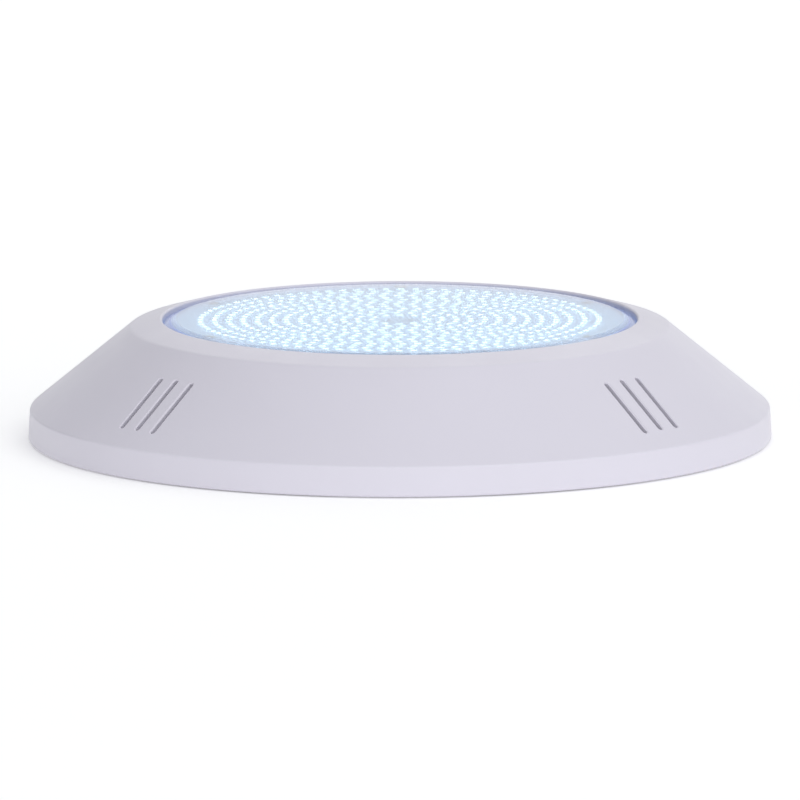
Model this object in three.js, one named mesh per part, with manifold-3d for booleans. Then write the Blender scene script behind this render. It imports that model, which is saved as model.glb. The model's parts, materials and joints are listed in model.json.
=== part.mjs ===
// Surface-mounted LED underwater pool light: a bayonet wall bracket, and the lamp that twists onto it.
// Millimetres. The pool wall is the plane z = 0, and +Z points out of the wall into the water.
import * as THREE from "three";
import { mergeVertices, toCreasedNormals } from "three/addons/utils/BufferGeometryUtils.js";
import Module from "manifold-3d";

const wasm = await Module();
wasm.setup();

// ---- driving dimensions ----
const TOUCH_GAP = 0.3; // between pieces that bear on each other
const ROUND_SEGMENTS = 48;
const INNER_SEGMENTS = 36;
const GLAND_SEGMENTS = 20;
const SMALL_SEGMENTS = 8;
const ARC_STEP = THREE.MathUtils.degToRad(23);
const CREASE = THREE.MathUtils.degToRad(30);

const FACE = {
  radius: 145, // at the wall
  rimRadius: 144.4,
  rimHeight: 12.1,
  shoulderRadius: 105.1, // where the cone meets the lip
  shoulderHeight: 44.2,
  shoulderFillet: 5,
  lipRadius: 92.6,
  height: 47.6,
  lipUnderside: 42.6,
  wallGap: 0.5, // the skirt stays off the pool wall
  wall: 2.8,
};
const SLOT = { inner: 116, outer: 137, width: 2.2, pitch: 8.8, perGroup: 3 };
const SLOT_GROUP_ANGLES = [42.5, 137.5, 222.5, 317.5];

const BRACKET = {
  radius: 128,
  height: 8.6,
  plate: 3,
  wall: 3,
  cableRadius: 32, // opening behind the lamp for the cable
  collarHeight: 9,
  ribHeight: 6,
  ribWidth: 2.4,
  ribs: 8,
};
const WALL_SCREW = { circle: 85, width: 6, length: 14 }; // slotted holes in the bracket
const BAYONET = {
  count: 4,
  lugReach: 139,
  lugUnderside: 6,
  lugHalfAngle: 15,
  tabInner: 133,
  tabBottom: 2.6,
  tabTop: 5.6,
  tabHalfAngle: 11,
  twist: 28, // from locked to free
  stopWidth: 3, // degrees of arc
};

const HOUSING = {
  radius: 90.5,
  wall: 2.5,
  floorBottom: 20,
  floorTop: 22.5,
  flangeRadius: 101.5,
  flangeBottom: 33.5,
  flangeTop: 37,
};
const GASKET = { inner: 92.2, outer: 94.5, depth: 1.7 };
const LENS = {
  radius: 92.1,
  wall: 2.8,
  bottom: 44.7,
  top: 47.1,
  bevelWidth: 4.7,
  bevelDrop: 1.6,
  flangeThickness: 2.5,
};
const CLAMP = { inner: 92.6, outer: 100.8, thickness: 2.1, screwCircle: 98, screws: 8 };
const RING_FIXING = { circle: 104.4, bossRadius: 3.2, lugRadius: 3.6, bossTop: 42, count: 4 };

const PLATE = { radius: 87.2, bottom: 39.6, thickness: 1.9, hole: 8 };
const LED_BOARD = { thickness: 1.6, leadSpread: 4, leadHole: 1.2 };
const BOARD_FIXING = { circle: 84.6, bossRadius: 3.6, bossTop: 39.3, holeDepth: 5, count: 6 };

const DRIVER = { width: 64, depth: 40, thickness: 1.6, centreY: 45, bottom: 25, inset: 4, standoff: 3 };
// Places on the driver board are from its centre.
const CAPACITOR = { radius: 5, height: 9, places: [[-16, 8], [20, -7]] };
const INDUCTOR = { inner: 2.6, outer: 7, height: 5.6, place: [4, 7] };
const RECTIFIER = { width: 9, depth: 7, height: 2.6, place: [-16, -8] };
const REGULATOR = { width: 5, depth: 4, height: 1.6, place: [6, -9] };
const TERMINAL = {
  width: 22,
  depth: 12,
  height: 8.6,
  centreY: -35,
  spread: 5.5,
  screwDepth: 2,
  entryRadius: 1.5,
  entryHeight: 2.8,
};

const M3 = { shank: 1.5, head: 2.6, headHeight: 1.7, length: 8 };
const M3_LOW_HEAD = { shank: 1.5, head: 2.6, headHeight: 0.8, length: 8 };
const M25 = { shank: 1.2, head: 2.2, headHeight: 1.5, length: 5 };
const TERMINAL_SCREW = { shank: 1.2, head: 2.5, headHeight: 1.4, length: 1.6 };
const SCREW_HOLE = M3.shank + TOUCH_GAP;

const GLAND = {
  threadRadius: 7.8,
  noseRadius: 7,
  boreRadius: 4,
  pocketRadius: 6,
  sealBore: 3.4,
  hexFlats: 22,
  hexBottom: 14.8,
  hexTop: 18.3,
  oRing: [8.3, 10.5],
  noseBottom: 6.5,
  pocketTop: 13,
  threadTop: 28,
  nutFlats: 20,
  nutBottom: 3.5,
  nutTop: 14.2,
  nutBore: 4.2,
  nutEnd: 1.2,
  washer: 0.9,
  lockNutThickness: 4,
};

const COLOUR = {
  whiteShell: 0xe3e2ea,
  bracket: 0xd4d5d8,
  housing: 0xc9cbd0,
  lens: 0xdfeefa,
  silicone: 0x8c9096,
  steel: 0xb9bcc0,
  aluminium: 0xc4c6c8,
  boardWhite: 0xdfe6f5,
  boardGreen: 0x1f5a36,
  black: 0x1b1c1f,
  capacitor: 0x3b3f4a,
  copper: 0xa8683c,
  nylon: 0x2a2b2e,
  terminal: 0xe8e6dc,
  leadBrown: 0x5a3825,
  leadBlue: 0x2f5f9e,
  leadRed: 0xb3261e,
  leadBlack: 0x202124,
};

// ---- solids ----
function solidFrom(geometry) {
  geometry.deleteAttribute("normal");
  geometry.deleteAttribute("uv");
  const merged = mergeVertices(geometry, 1e-4);
  return new wasm.Manifold(
    new wasm.Mesh({
      numProp: 3,
      vertProperties: merged.attributes.position.array,
      triVerts: new Uint32Array(merged.index.array),
    }),
  );
}

function geometryOf(solid) {
  const mesh = solid.getMesh();
  const geometry = new THREE.BufferGeometry();
  geometry.setAttribute("position", new THREE.BufferAttribute(mesh.vertProperties, 3));
  geometry.setIndex(new THREE.BufferAttribute(mesh.triVerts, 1));
  return toCreasedNormals(geometry, CREASE);
}

// Turns each [radius, height, fillet] corner that has a fillet into an arc.
function filleted(profile) {
  const corners = profile.map(([radius, height]) => new THREE.Vector2(radius, height));
  return profile.flatMap(([, , fillet], i) => {
    const corner = corners[i];
    if (!fillet) return [corner];
    const toBefore = corners.at(i - 1).clone().sub(corner).normalize();
    const toAfter = corners[(i + 1) % corners.length].clone().sub(corner).normalize();
    const half = Math.acos(toBefore.dot(toAfter)) / 2;
    const reach = fillet / Math.tan(half);
    const bisector = toBefore.clone().add(toAfter).normalize();
    const centre = bisector.multiplyScalar(fillet / Math.sin(half)).add(corner);
    const start = toBefore.multiplyScalar(reach).add(corner).sub(centre).angle();
    const end = toAfter.multiplyScalar(reach).add(corner).sub(centre).angle();
    const sweep = THREE.MathUtils.euclideanModulo(end - start + Math.PI, 2 * Math.PI) - Math.PI;
    const steps = Math.max(1, Math.ceil(Math.abs(sweep) / ARC_STEP));
    return Array.from({ length: steps + 1 }, (_, step) => {
      const angle = start + (sweep * step) / steps;
      return new THREE.Vector2(Math.cos(angle), Math.sin(angle)).multiplyScalar(fillet).add(centre);
    });
  });
}

// A solid of revolution about Z. The profile runs anticlockwise: out along the bottom, back along the top.
function revolve(profile, segments = ROUND_SEGMENTS) {
  const outline = filleted(profile);
  if (outline[0].x > 0) outline.push(outline[0].clone());
  return solidFrom(new THREE.LatheGeometry(outline, segments).rotateX(Math.PI / 2));
}

function washer(inner, outer, bottom, top, segments = ROUND_SEGMENTS) {
  return revolve([[inner, bottom], [outer, bottom], [outer, top], [inner, top]], segments);
}

function cylinder(radius, bottom, top, segments = SMALL_SEGMENTS) {
  const geometry = new THREE.CylinderGeometry(radius, radius, top - bottom, segments);
  return solidFrom(geometry.rotateX(Math.PI / 2).translate(0, 0, (top + bottom) / 2));
}

function hexagon(acrossFlats, bottom, top) {
  return cylinder(acrossFlats / Math.sqrt(3), bottom, top, 6);
}

function block(width, depth, bottom, top) {
  return solidFrom(new THREE.BoxGeometry(width, depth, top - bottom).translate(0, 0, (top + bottom) / 2));
}

function prism(shape, bottom, top, curveSegments) {
  const options = { depth: top - bottom, bevelEnabled: false, curveSegments };
  return solidFrom(new THREE.ExtrudeGeometry(shape, options).translate(0, 0, bottom));
}

// A piece of a ring between two angles in degrees.
function ringSector(inner, outer, bottom, top, from, to) {
  const start = THREE.MathUtils.degToRad(from);
  const end = THREE.MathUtils.degToRad(to);
  const shape = new THREE.Shape();
  shape.absarc(0, 0, outer, start, end, false);
  shape.absarc(0, 0, inner, end, start, true);
  return prism(shape, bottom, top, 3);
}

// A long hole with round ends, its length along Y.
function longHole(width, length, bottom, top) {
  const radius = width / 2;
  const straight = length / 2 - radius;
  const shape = new THREE.Shape();
  shape.absarc(0, straight, radius, 0, Math.PI, false);
  shape.absarc(0, -straight, radius, Math.PI, 2 * Math.PI, false);
  return prism(shape, bottom, top, 3);
}

// An insulated lead: a round section along a smooth curve through the points.
function lead(points, radius = 0.9) {
  const section = new THREE.Shape();
  section.absarc(0, 0, radius, 0, 2 * Math.PI, false);
  const path = new THREE.CatmullRomCurve3(points.map((point) => new THREE.Vector3(...point)));
  const options = { extrudePath: path, steps: 12, curveSegments: 4, bevelEnabled: false };
  return solidFrom(new THREE.ExtrudeGeometry(section, options));
}

function polar(radius, degrees, z = 0) {
  const angle = THREE.MathUtils.degToRad(degrees);
  return [radius * Math.cos(angle), radius * Math.sin(angle), z];
}

// Angles of a number of places spread evenly round the axis.
function spread(count, first = 0) {
  return Array.from({ length: count }, (_, i) => first + (360 / count) * i);
}

// Copies of a solid, each moved out to a radius and turned to its angle.
function ringOf(solid, radius, angles) {
  return angles.map((angle) => solid.translate([radius, 0, 0]).rotate([0, 0, angle]));
}

function join(solids) {
  return solids.reduce((whole, solid) => whole.add(solid));
}

function cut(solid, cutters) {
  return cutters.reduce((rest, cutter) => rest.subtract(cutter), solid);
}

// ---- shared places ----
const CLAMP_ANGLES = spread(CLAMP.screws, 22.5);
const RING_FIXING_ANGLES = spread(RING_FIXING.count);
const BOARD_FIXING_ANGLES = spread(BOARD_FIXING.count, 30);
const PLATE_TOP = PLATE.bottom + PLATE.thickness;
const BOARD_BOTTOM = PLATE_TOP + TOUCH_GAP;
const BOARD_TOP = BOARD_BOTTOM + LED_BOARD.thickness;
const LENS_FLANGE_BOTTOM = HOUSING.flangeTop + TOUCH_GAP;
const LENS_FLANGE_TOP = LENS_FLANGE_BOTTOM + LENS.flangeThickness;
const CLAMP_BOTTOM = LENS_FLANGE_TOP + TOUCH_GAP;
const FLANGE_SCREW_SEAT = HOUSING.flangeBottom - TOUCH_GAP;
const DRIVER_TOP = DRIVER.bottom + DRIVER.thickness;
const DRIVER_CORNERS = [-1, 1].flatMap((side) =>
  [-1, 1].map((end) => [
    side * (DRIVER.width / 2 - DRIVER.inset),
    DRIVER.centreY + end * (DRIVER.depth / 2 - DRIVER.inset),
    0,
  ]),
);

// ---- wall bracket ----
function wallBracket() {
  const { radius, height, plate, wall, cableRadius, collarHeight, ribHeight, ribWidth } = BRACKET;
  const pan = revolve([
    [cableRadius, 0],
    [radius, 0],
    [radius, height],
    [radius - wall, height],
    [radius - wall, plate],
    [cableRadius + wall, plate],
    [cableRadius + wall, collarHeight],
    [cableRadius, collarHeight],
  ]);
  const ribSpan = radius - cableRadius - wall - 1;
  const rib = block(ribSpan, ribWidth, plate / 2, ribHeight);
  const ribs = ringOf(rib, (radius + cableRadius) / 2, spread(BRACKET.ribs, 22.5));

  const { lugReach, lugUnderside, lugHalfAngle, tabHalfAngle, twist, stopWidth } = BAYONET;
  const root = radius - wall / 2;
  const lug = ringSector(root, lugReach, lugUnderside, height, -lugHalfAngle, lugHalfAngle);
  const lockedEnd = -tabHalfAngle - 0.3;
  const freeEnd = tabHalfAngle + twist + 1;
  const stopBottom = BAYONET.tabBottom - TOUCH_GAP;
  const lockedStop = ringSector(root, lugReach, stopBottom, height, lockedEnd - stopWidth, lockedEnd);
  const freeStop = ringSector(root, lugReach - 2, stopBottom, height, freeEnd, freeEnd + stopWidth);
  const claws = ringOf(join([lug, lockedStop, freeStop]), 0, spread(BAYONET.count));

  const screwHole = longHole(WALL_SCREW.width, WALL_SCREW.length, -1, plate + 1);
  const screwHoles = ringOf(screwHole, WALL_SCREW.circle, spread(4));
  return cut(join([pan, ...ribs, ...claws]), screwHoles);
}

// ---- face ring ----
function faceRing() {
  const { radius, rimRadius, rimHeight, shoulderRadius, shoulderHeight, lipRadius, wall } = FACE;
  const slope = Math.atan2(shoulderHeight - rimHeight, rimRadius - shoulderRadius);
  const insideCone = (z) => rimRadius - (z - rimHeight) / Math.tan(slope) - wall / Math.sin(slope);
  const skirtInside = rimRadius - wall;
  const skirtTop = rimHeight + (rimRadius - skirtInside - wall / Math.sin(slope)) * Math.tan(slope);
  const shell = revolve([
    [radius - wall, FACE.wallGap],
    [radius, FACE.wallGap],
    [rimRadius, rimHeight, 0.5],
    [shoulderRadius, shoulderHeight, FACE.shoulderFillet],
    [lipRadius, FACE.height, 0.9],
    [lipRadius, FACE.lipUnderside],
    [insideCone(FACE.lipUnderside), FACE.lipUnderside],
    [skirtInside, skirtTop],
  ]);

  const { tabInner, tabBottom, tabTop, tabHalfAngle } = BAYONET;
  const tab = ringSector(tabInner, radius - wall / 2, tabBottom, tabTop, -tabHalfAngle, tabHalfAngle);
  const tabs = ringOf(tab, 0, spread(BAYONET.count));
  const bossBottom = HOUSING.flangeTop + TOUCH_GAP;
  const boss = cylinder(RING_FIXING.bossRadius, bossBottom, RING_FIXING.bossTop);
  const bosses = ringOf(boss, RING_FIXING.circle, RING_FIXING_ANGLES);
  const bossHole = cylinder(SCREW_HOLE, bossBottom - 1, RING_FIXING.bossTop - 0.4);
  const bossHoles = ringOf(bossHole, RING_FIXING.circle, RING_FIXING_ANGLES);

  const slotLength = SLOT.outer - SLOT.inner;
  const slotCutter = block(slotLength, SLOT.width, rimHeight, FACE.height);
  const slotMiddle = (SLOT.outer + SLOT.inner) / 2;
  const slots = SLOT_GROUP_ANGLES.flatMap((angle) =>
    Array.from({ length: SLOT.perGroup }, (_, i) => {
      const offset = (i - (SLOT.perGroup - 1) / 2) * SLOT.pitch;
      return slotCutter.translate([slotMiddle, offset, 0]).rotate([0, 0, angle]);
    }),
  );
  return cut(join([shell, ...tabs, ...bosses]), [...bossHoles, ...slots]);
}

// ---- watertight housing and lens ----
function lampHousing() {
  const { radius, wall, floorBottom, floorTop, flangeRadius, flangeBottom, flangeTop } = HOUSING;
  const grooveFloor = flangeTop - GASKET.depth - TOUCH_GAP;
  const cup = revolve([
    [0, floorBottom],
    [radius, floorBottom, 2.5],
    [radius, flangeBottom],
    [flangeRadius, flangeBottom],
    [flangeRadius, flangeTop],
    [GASKET.outer + TOUCH_GAP, flangeTop],
    [GASKET.outer + TOUCH_GAP, grooveFloor],
    [GASKET.inner - TOUCH_GAP, grooveFloor],
    [GASKET.inner - TOUCH_GAP, flangeTop],
    [radius - wall, flangeTop],
    [radius - wall, floorTop],
    [0, floorTop],
  ]);

  const { circle, lugRadius } = RING_FIXING;
  const lugArm = block(circle - radius - 4, 2 * lugRadius, flangeBottom, flangeTop);
  const lugArmAtEdge = lugArm.translate([(radius + 4 - circle) / 2, 0, 0]);
  const lug = join([cylinder(lugRadius, flangeBottom, flangeTop), lugArmAtEdge]);
  const lugs = ringOf(lug, circle, RING_FIXING_ANGLES);

  const boss = cylinder(BOARD_FIXING.bossRadius, floorTop - 1, BOARD_FIXING.bossTop);
  const bosses = ringOf(boss, BOARD_FIXING.circle, BOARD_FIXING_ANGLES);
  const standoff = cylinder(DRIVER.standoff, floorTop - 1, DRIVER.bottom - TOUCH_GAP);
  const standoffs = DRIVER_CORNERS.map((corner) => standoff.translate(corner));

  const flangeHole = cylinder(SCREW_HOLE, flangeBottom - 1, flangeTop + 1);
  const { bossTop, holeDepth } = BOARD_FIXING;
  const bossHole = cylinder(SCREW_HOLE, bossTop - holeDepth, bossTop + 1);
  const standoffHole = cylinder(M25.shank + TOUCH_GAP, floorBottom + 1, DRIVER.bottom);
  return cut(join([cup, ...lugs, ...bosses, ...standoffs]), [
    cylinder(GLAND.threadRadius + TOUCH_GAP, floorBottom - 1, floorTop + 1, GLAND_SEGMENTS),
    ...ringOf(flangeHole, CLAMP.screwCircle, CLAMP_ANGLES),
    ...ringOf(flangeHole, circle, RING_FIXING_ANGLES),
    ...ringOf(bossHole, BOARD_FIXING.circle, BOARD_FIXING_ANGLES),
    ...DRIVER_CORNERS.map((corner) => standoffHole.translate(corner)),
  ]);
}

function lensGasket() {
  const top = HOUSING.flangeTop;
  return washer(GASKET.inner, GASKET.outer, top - GASKET.depth, top);
}

function lens() {
  const { radius, wall, bottom, top, bevelWidth, bevelDrop } = LENS;
  const cup = revolve([
    [0, bottom],
    [radius - wall, bottom],
    [radius - wall, LENS_FLANGE_BOTTOM],
    [CLAMP.outer, LENS_FLANGE_BOTTOM],
    [CLAMP.outer, LENS_FLANGE_TOP],
    [radius, LENS_FLANGE_TOP],
    [radius, top - bevelDrop],
    [radius - bevelWidth, top],
    [0, top],
  ]);
  const hole = cylinder(SCREW_HOLE, LENS_FLANGE_BOTTOM - 1, LENS_FLANGE_TOP + 1);
  return cut(cup, ringOf(hole, CLAMP.screwCircle, CLAMP_ANGLES));
}

function clampRing() {
  const top = CLAMP_BOTTOM + CLAMP.thickness;
  const band = washer(CLAMP.inner, CLAMP.outer, CLAMP_BOTTOM, top);
  const hole = cylinder(SCREW_HOLE, CLAMP_BOTTOM - 1, top + 1);
  return cut(band, ringOf(hole, CLAMP.screwCircle, CLAMP_ANGLES));
}

// ---- light source ----
function heatSinkPlate() {
  const plate = washer(PLATE.hole, PLATE.radius, PLATE.bottom, PLATE_TOP, INNER_SEGMENTS);
  const hole = cylinder(SCREW_HOLE, PLATE.bottom - 1, PLATE_TOP + 1);
  return cut(plate, ringOf(hole, BOARD_FIXING.circle, BOARD_FIXING_ANGLES));
}

function ledBoard() {
  const disc = cylinder(PLATE.radius, BOARD_BOTTOM, BOARD_TOP, INNER_SEGMENTS);
  const screwHole = cylinder(SCREW_HOLE, BOARD_BOTTOM - 1, BOARD_TOP + 1);
  const leadHole = cylinder(LED_BOARD.leadHole, BOARD_BOTTOM - 1, BOARD_TOP + 1);
  return cut(disc, [
    ...ringOf(screwHole, BOARD_FIXING.circle, BOARD_FIXING_ANGLES),
    ...ringOf(leadHole, LED_BOARD.leadSpread, [0, 180]),
  ]);
}

// ---- driver and terminals ----
function driverBoard() {
  const { width, depth, centreY, bottom } = DRIVER;
  const board = block(width, depth, bottom, DRIVER_TOP).translate([0, centreY, 0]);
  const hole = cylinder(M25.shank + TOUCH_GAP, bottom - 1, DRIVER_TOP + 1);
  return cut(board, DRIVER_CORNERS.map((corner) => hole.translate(corner)));
}

function terminalBlock() {
  const { width, depth, height, spread: half, entryRadius, entryHeight } = TERMINAL;
  const body = block(width, depth, 0, height);
  const screwHole = cylinder(M3.head + TOUCH_GAP, height - 4, height + 1);
  const wireEntry = cylinder(entryRadius, -depth, depth).rotate([90, 0, 0]).translate([0, 0, entryHeight]);
  const well = screwHole.add(wireEntry);
  return cut(body, [well.translate([-half, 0, 0]), well.translate([half, 0, 0])]);
}

function inductor() {
  return washer(INDUCTOR.inner, INDUCTOR.outer, 0, INDUCTOR.height, GLAND_SEGMENTS);
}

// ---- cable gland, pointing at the wall ----
function glandBody() {
  const { threadRadius, noseRadius, boreRadius, pocketRadius, hexFlats, hexBottom, hexTop } = GLAND;
  const turned = revolve(
    [
      [pocketRadius, GLAND.noseBottom],
      [noseRadius, GLAND.noseBottom],
      [noseRadius, hexBottom],
      [threadRadius, hexBottom],
      [threadRadius, GLAND.threadTop],
      [boreRadius, GLAND.threadTop],
      [boreRadius, GLAND.pocketTop],
      [pocketRadius, GLAND.pocketTop],
    ],
    GLAND_SEGMENTS,
  );
  const core = cylinder(threadRadius - 1, hexBottom - 1, hexTop + 1, GLAND_SEGMENTS);
  return turned.add(hexagon(hexFlats, hexBottom, hexTop).subtract(core));
}

function glandORing() {
  const [inner, outer] = GLAND.oRing;
  return washer(inner, outer, GLAND.hexTop + TOUCH_GAP, HOUSING.floorBottom - TOUCH_GAP, GLAND_SEGMENTS);
}

function glandLockNut() {
  const bottom = HOUSING.floorTop + TOUCH_GAP;
  const top = bottom + GLAND.lockNutThickness;
  return hexagon(GLAND.hexFlats, bottom, top).subtract(
    cylinder(GLAND.threadRadius + TOUCH_GAP, bottom - 1, top + 1, GLAND_SEGMENTS),
  );
}

function glandSeal() {
  const outer = GLAND.pocketRadius - TOUCH_GAP;
  const bottom = GLAND.noseBottom - TOUCH_GAP;
  return washer(GLAND.sealBore, outer, bottom, GLAND.pocketTop - TOUCH_GAP, GLAND_SEGMENTS);
}

function glandThrustWasher() {
  const bottom = GLAND.nutBottom + GLAND.nutEnd + TOUCH_GAP;
  return washer(GLAND.sealBore, GLAND.noseRadius - TOUCH_GAP, bottom, bottom + GLAND.washer, GLAND_SEGMENTS);
}

function glandNut() {
  const { nutFlats, nutBottom, nutTop, nutBore, nutEnd, noseRadius } = GLAND;
  return cut(hexagon(nutFlats, nutBottom, nutTop), [
    cylinder(nutBore, nutBottom - 1, nutTop, GLAND_SEGMENTS),
    cylinder(noseRadius + TOUCH_GAP, nutBottom + nutEnd, nutTop + 1, GLAND_SEGMENTS),
  ]);
}

// A pan-head screw with its thread along +Z and the underside of its head at z = 0.
function panHeadScrew({ shank, head, headHeight, length }) {
  const body = revolve(
    [
      [0, -headHeight],
      [head * 0.7, -headHeight],
      [head, -headHeight * 0.5],
      [head, 0],
      [shank, 0],
      [shank, length],
      [0, length],
    ],
    SMALL_SEGMENTS,
  );
  const crossArm = block(head * 1.1, head * 0.26, -headHeight - 1, -headHeight * 0.45);
  return cut(body, [crossArm, crossArm.rotate([0, 0, 90])]);
}

// ---- assembly ----
function material(color, roughness, metalness = 0) {
  return new THREE.MeshStandardMaterial({ color, roughness, metalness });
}

function piece(parent, name, solid, look, place = [0, 0, 0], flipped = false) {
  const mesh = new THREE.Mesh(geometryOf(solid), look);
  mesh.name = name;
  mesh.position.set(...place);
  if (flipped) mesh.rotation.x = Math.PI;
  parent.add(mesh);
  return mesh;
}

function steel() {
  return material(COLOUR.steel, 0.32, 1);
}

function addScrews(parent, name, screw, places, flipped = false) {
  const solid = panHeadScrew(screw);
  places.forEach((place, i) => piece(parent, `${name}_${i + 1}`, solid, steel(), place, flipped));
}

function buildBracket() {
  const group = new THREE.Group();
  piece(group, "wall_bracket", wallBracket(), material(COLOUR.bracket, 0.5));
  return group;
}

function buildShell() {
  const group = new THREE.Group();
  piece(group, "face_ring", faceRing(), material(COLOUR.whiteShell, 0.42));
  piece(group, "lamp_housing", lampHousing(), material(COLOUR.housing, 0.5));
  piece(group, "lens_gasket", lensGasket(), material(COLOUR.silicone, 0.8));
  piece(group, "lens", lens(), material(COLOUR.lens, 0.06));
  piece(group, "clamp_ring", clampRing(), material(COLOUR.steel, 0.3, 1));
  const clampPlaces = CLAMP_ANGLES.map((angle) => polar(CLAMP.screwCircle, angle, FLANGE_SCREW_SEAT));
  addScrews(group, "clamp_screw", M3, clampPlaces);
  const ringPlaces = RING_FIXING_ANGLES.map((angle) => polar(RING_FIXING.circle, angle, FLANGE_SCREW_SEAT));
  addScrews(group, "ring_screw", M3, ringPlaces);
  return group;
}

function buildLightSource() {
  const group = new THREE.Group();
  piece(group, "heat_sink_plate", heatSinkPlate(), material(COLOUR.aluminium, 0.4, 1));
  piece(group, "led_board", ledBoard(), material(COLOUR.boardWhite, 0.35));
  const seat = BOARD_TOP + TOUCH_GAP;
  const places = BOARD_FIXING_ANGLES.map((angle) => polar(BOARD_FIXING.circle, angle, seat));
  addScrews(group, "board_screw", M3_LOW_HEAD, places, true);
  return group;
}

function buildDriver() {
  const group = new THREE.Group();
  piece(group, "driver_board", driverBoard(), material(COLOUR.boardGreen, 0.4));
  const top = DRIVER_TOP + TOUCH_GAP;
  const onBoard = ([x, y]) => [x, DRIVER.centreY + y, top];
  const capacitor = cylinder(CAPACITOR.radius, 0, CAPACITOR.height, GLAND_SEGMENTS);
  const [input, output] = CAPACITOR.places;
  piece(group, "input_capacitor", capacitor, material(COLOUR.capacitor, 0.35), onBoard(input));
  piece(group, "output_capacitor", capacitor, material(COLOUR.capacitor, 0.35), onBoard(output));
  piece(group, "inductor", inductor(), material(COLOUR.copper, 0.45), onBoard(INDUCTOR.place));
  const rectifier = block(RECTIFIER.width, RECTIFIER.depth, 0, RECTIFIER.height);
  piece(group, "bridge_rectifier", rectifier, material(COLOUR.black, 0.5), onBoard(RECTIFIER.place));
  const regulator = block(REGULATOR.width, REGULATOR.depth, 0, REGULATOR.height);
  piece(group, "regulator_chip", regulator, material(COLOUR.black, 0.5), onBoard(REGULATOR.place));
  const screwPlaces = DRIVER_CORNERS.map(([x, y]) => [x, y, top]);
  addScrews(group, "driver_screw", M25, screwPlaces, true);
  return group;
}

function buildTerminals() {
  const group = new THREE.Group();
  const floor = HOUSING.floorTop + TOUCH_GAP;
  const { centreY, height, spread: half, entryHeight } = TERMINAL;
  piece(group, "terminal_block", terminalBlock(), material(COLOUR.terminal, 0.5), [0, centreY, floor]);
  const places = [-half, half].map((x) => [x, centreY, floor + height - TERMINAL.screwDepth]);
  addScrews(group, "terminal_screw", TERMINAL_SCREW, places, true);

  const entry = centreY + TERMINAL.depth / 2 - 2;
  const padY = DRIVER.centreY - DRIVER.depth / 2 + 3;
  // Each lead runs from its terminal or solder pad, clear of the driver's parts, to where it ends.
  const supplyLooks = [COLOUR.leadBrown, COLOUR.leadBlue];
  const ledLooks = [COLOUR.leadRed, COLOUR.leadBlack];
  [-1, 1].forEach((side, i) => {
    const supplyRoute = [
      [side * half, entry, floor + entryHeight],
      [side * half, entry + 5, floor + 3],
      [side * 15, -12, 27],
      [side * 17, 8, 28.5],
      [side * 13, padY - 6, 30],
      [side * 11, padY, DRIVER_TOP + 3],
      [side * 11, padY + 0.5, DRIVER_TOP + TOUCH_GAP],
    ];
    const ledRoute = [
      [side * 3, padY + 0.5, DRIVER_TOP + TOUCH_GAP],
      [side * 3, padY, DRIVER_TOP + 3],
      [side * 3, padY - 7, 33],
      [side * LED_BOARD.leadSpread, 8, 35],
      [side * LED_BOARD.leadSpread, 1.5, 38.5],
      [side * LED_BOARD.leadSpread, 0, BOARD_BOTTOM],
      [side * LED_BOARD.leadSpread, 0, BOARD_TOP + TOUCH_GAP],
    ];
    piece(group, `supply_lead_${i + 1}`, lead(supplyRoute), material(supplyLooks[i], 0.5));
    piece(group, `led_lead_${i + 1}`, lead(ledRoute, 0.8), material(ledLooks[i], 0.5));
  });
  return group;
}

function buildGland() {
  const group = new THREE.Group();
  piece(group, "gland_body", glandBody(), material(COLOUR.nylon, 0.5));
  piece(group, "gland_o_ring", glandORing(), material(COLOUR.black, 0.7));
  piece(group, "gland_lock_nut", glandLockNut(), material(COLOUR.nylon, 0.5));
  piece(group, "gland_seal", glandSeal(), material(COLOUR.silicone, 0.8));
  piece(group, "gland_thrust_washer", glandThrustWasher(), material(COLOUR.nylon, 0.4));
  piece(group, "gland_nut", glandNut(), material(COLOUR.nylon, 0.5));
  return group;
}

const lamp = new THREE.Group();
lamp.add(buildShell(), buildLightSource(), buildDriver(), buildTerminals(), buildGland());

const poolLight = new THREE.Group();
poolLight.add(buildBracket(), lamp);

export default poolLight;
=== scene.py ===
"""The looks of a surface-mounted LED underwater pool light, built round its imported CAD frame.

The CAD gives the places and the sizes, apart from the few that are listed below and must match it.
Helpers take millimetres and write metres. +Z points out of the wall.
"""

import json
import math

import bmesh
import bpy
from mathutils import Matrix, Vector


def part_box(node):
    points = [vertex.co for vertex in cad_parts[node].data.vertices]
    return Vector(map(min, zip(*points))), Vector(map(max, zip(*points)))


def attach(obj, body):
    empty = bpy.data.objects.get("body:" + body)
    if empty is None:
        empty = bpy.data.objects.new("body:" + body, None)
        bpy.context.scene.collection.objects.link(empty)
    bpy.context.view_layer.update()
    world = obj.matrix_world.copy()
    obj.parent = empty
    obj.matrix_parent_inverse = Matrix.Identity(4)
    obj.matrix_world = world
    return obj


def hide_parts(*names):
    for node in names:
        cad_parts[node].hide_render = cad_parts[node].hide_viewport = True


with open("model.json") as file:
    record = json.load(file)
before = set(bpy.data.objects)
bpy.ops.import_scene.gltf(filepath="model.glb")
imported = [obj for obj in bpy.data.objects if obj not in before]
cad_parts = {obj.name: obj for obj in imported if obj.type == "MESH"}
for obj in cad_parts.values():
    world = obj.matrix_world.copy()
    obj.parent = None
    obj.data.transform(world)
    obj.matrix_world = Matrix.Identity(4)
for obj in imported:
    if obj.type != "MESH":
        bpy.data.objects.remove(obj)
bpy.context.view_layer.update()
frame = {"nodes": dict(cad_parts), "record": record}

MM = 0.001
ROUND = 288  # sides of a large turned piece
SMALL = 48  # sides of a small turned piece
ARC_STEP = math.radians(7)

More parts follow.
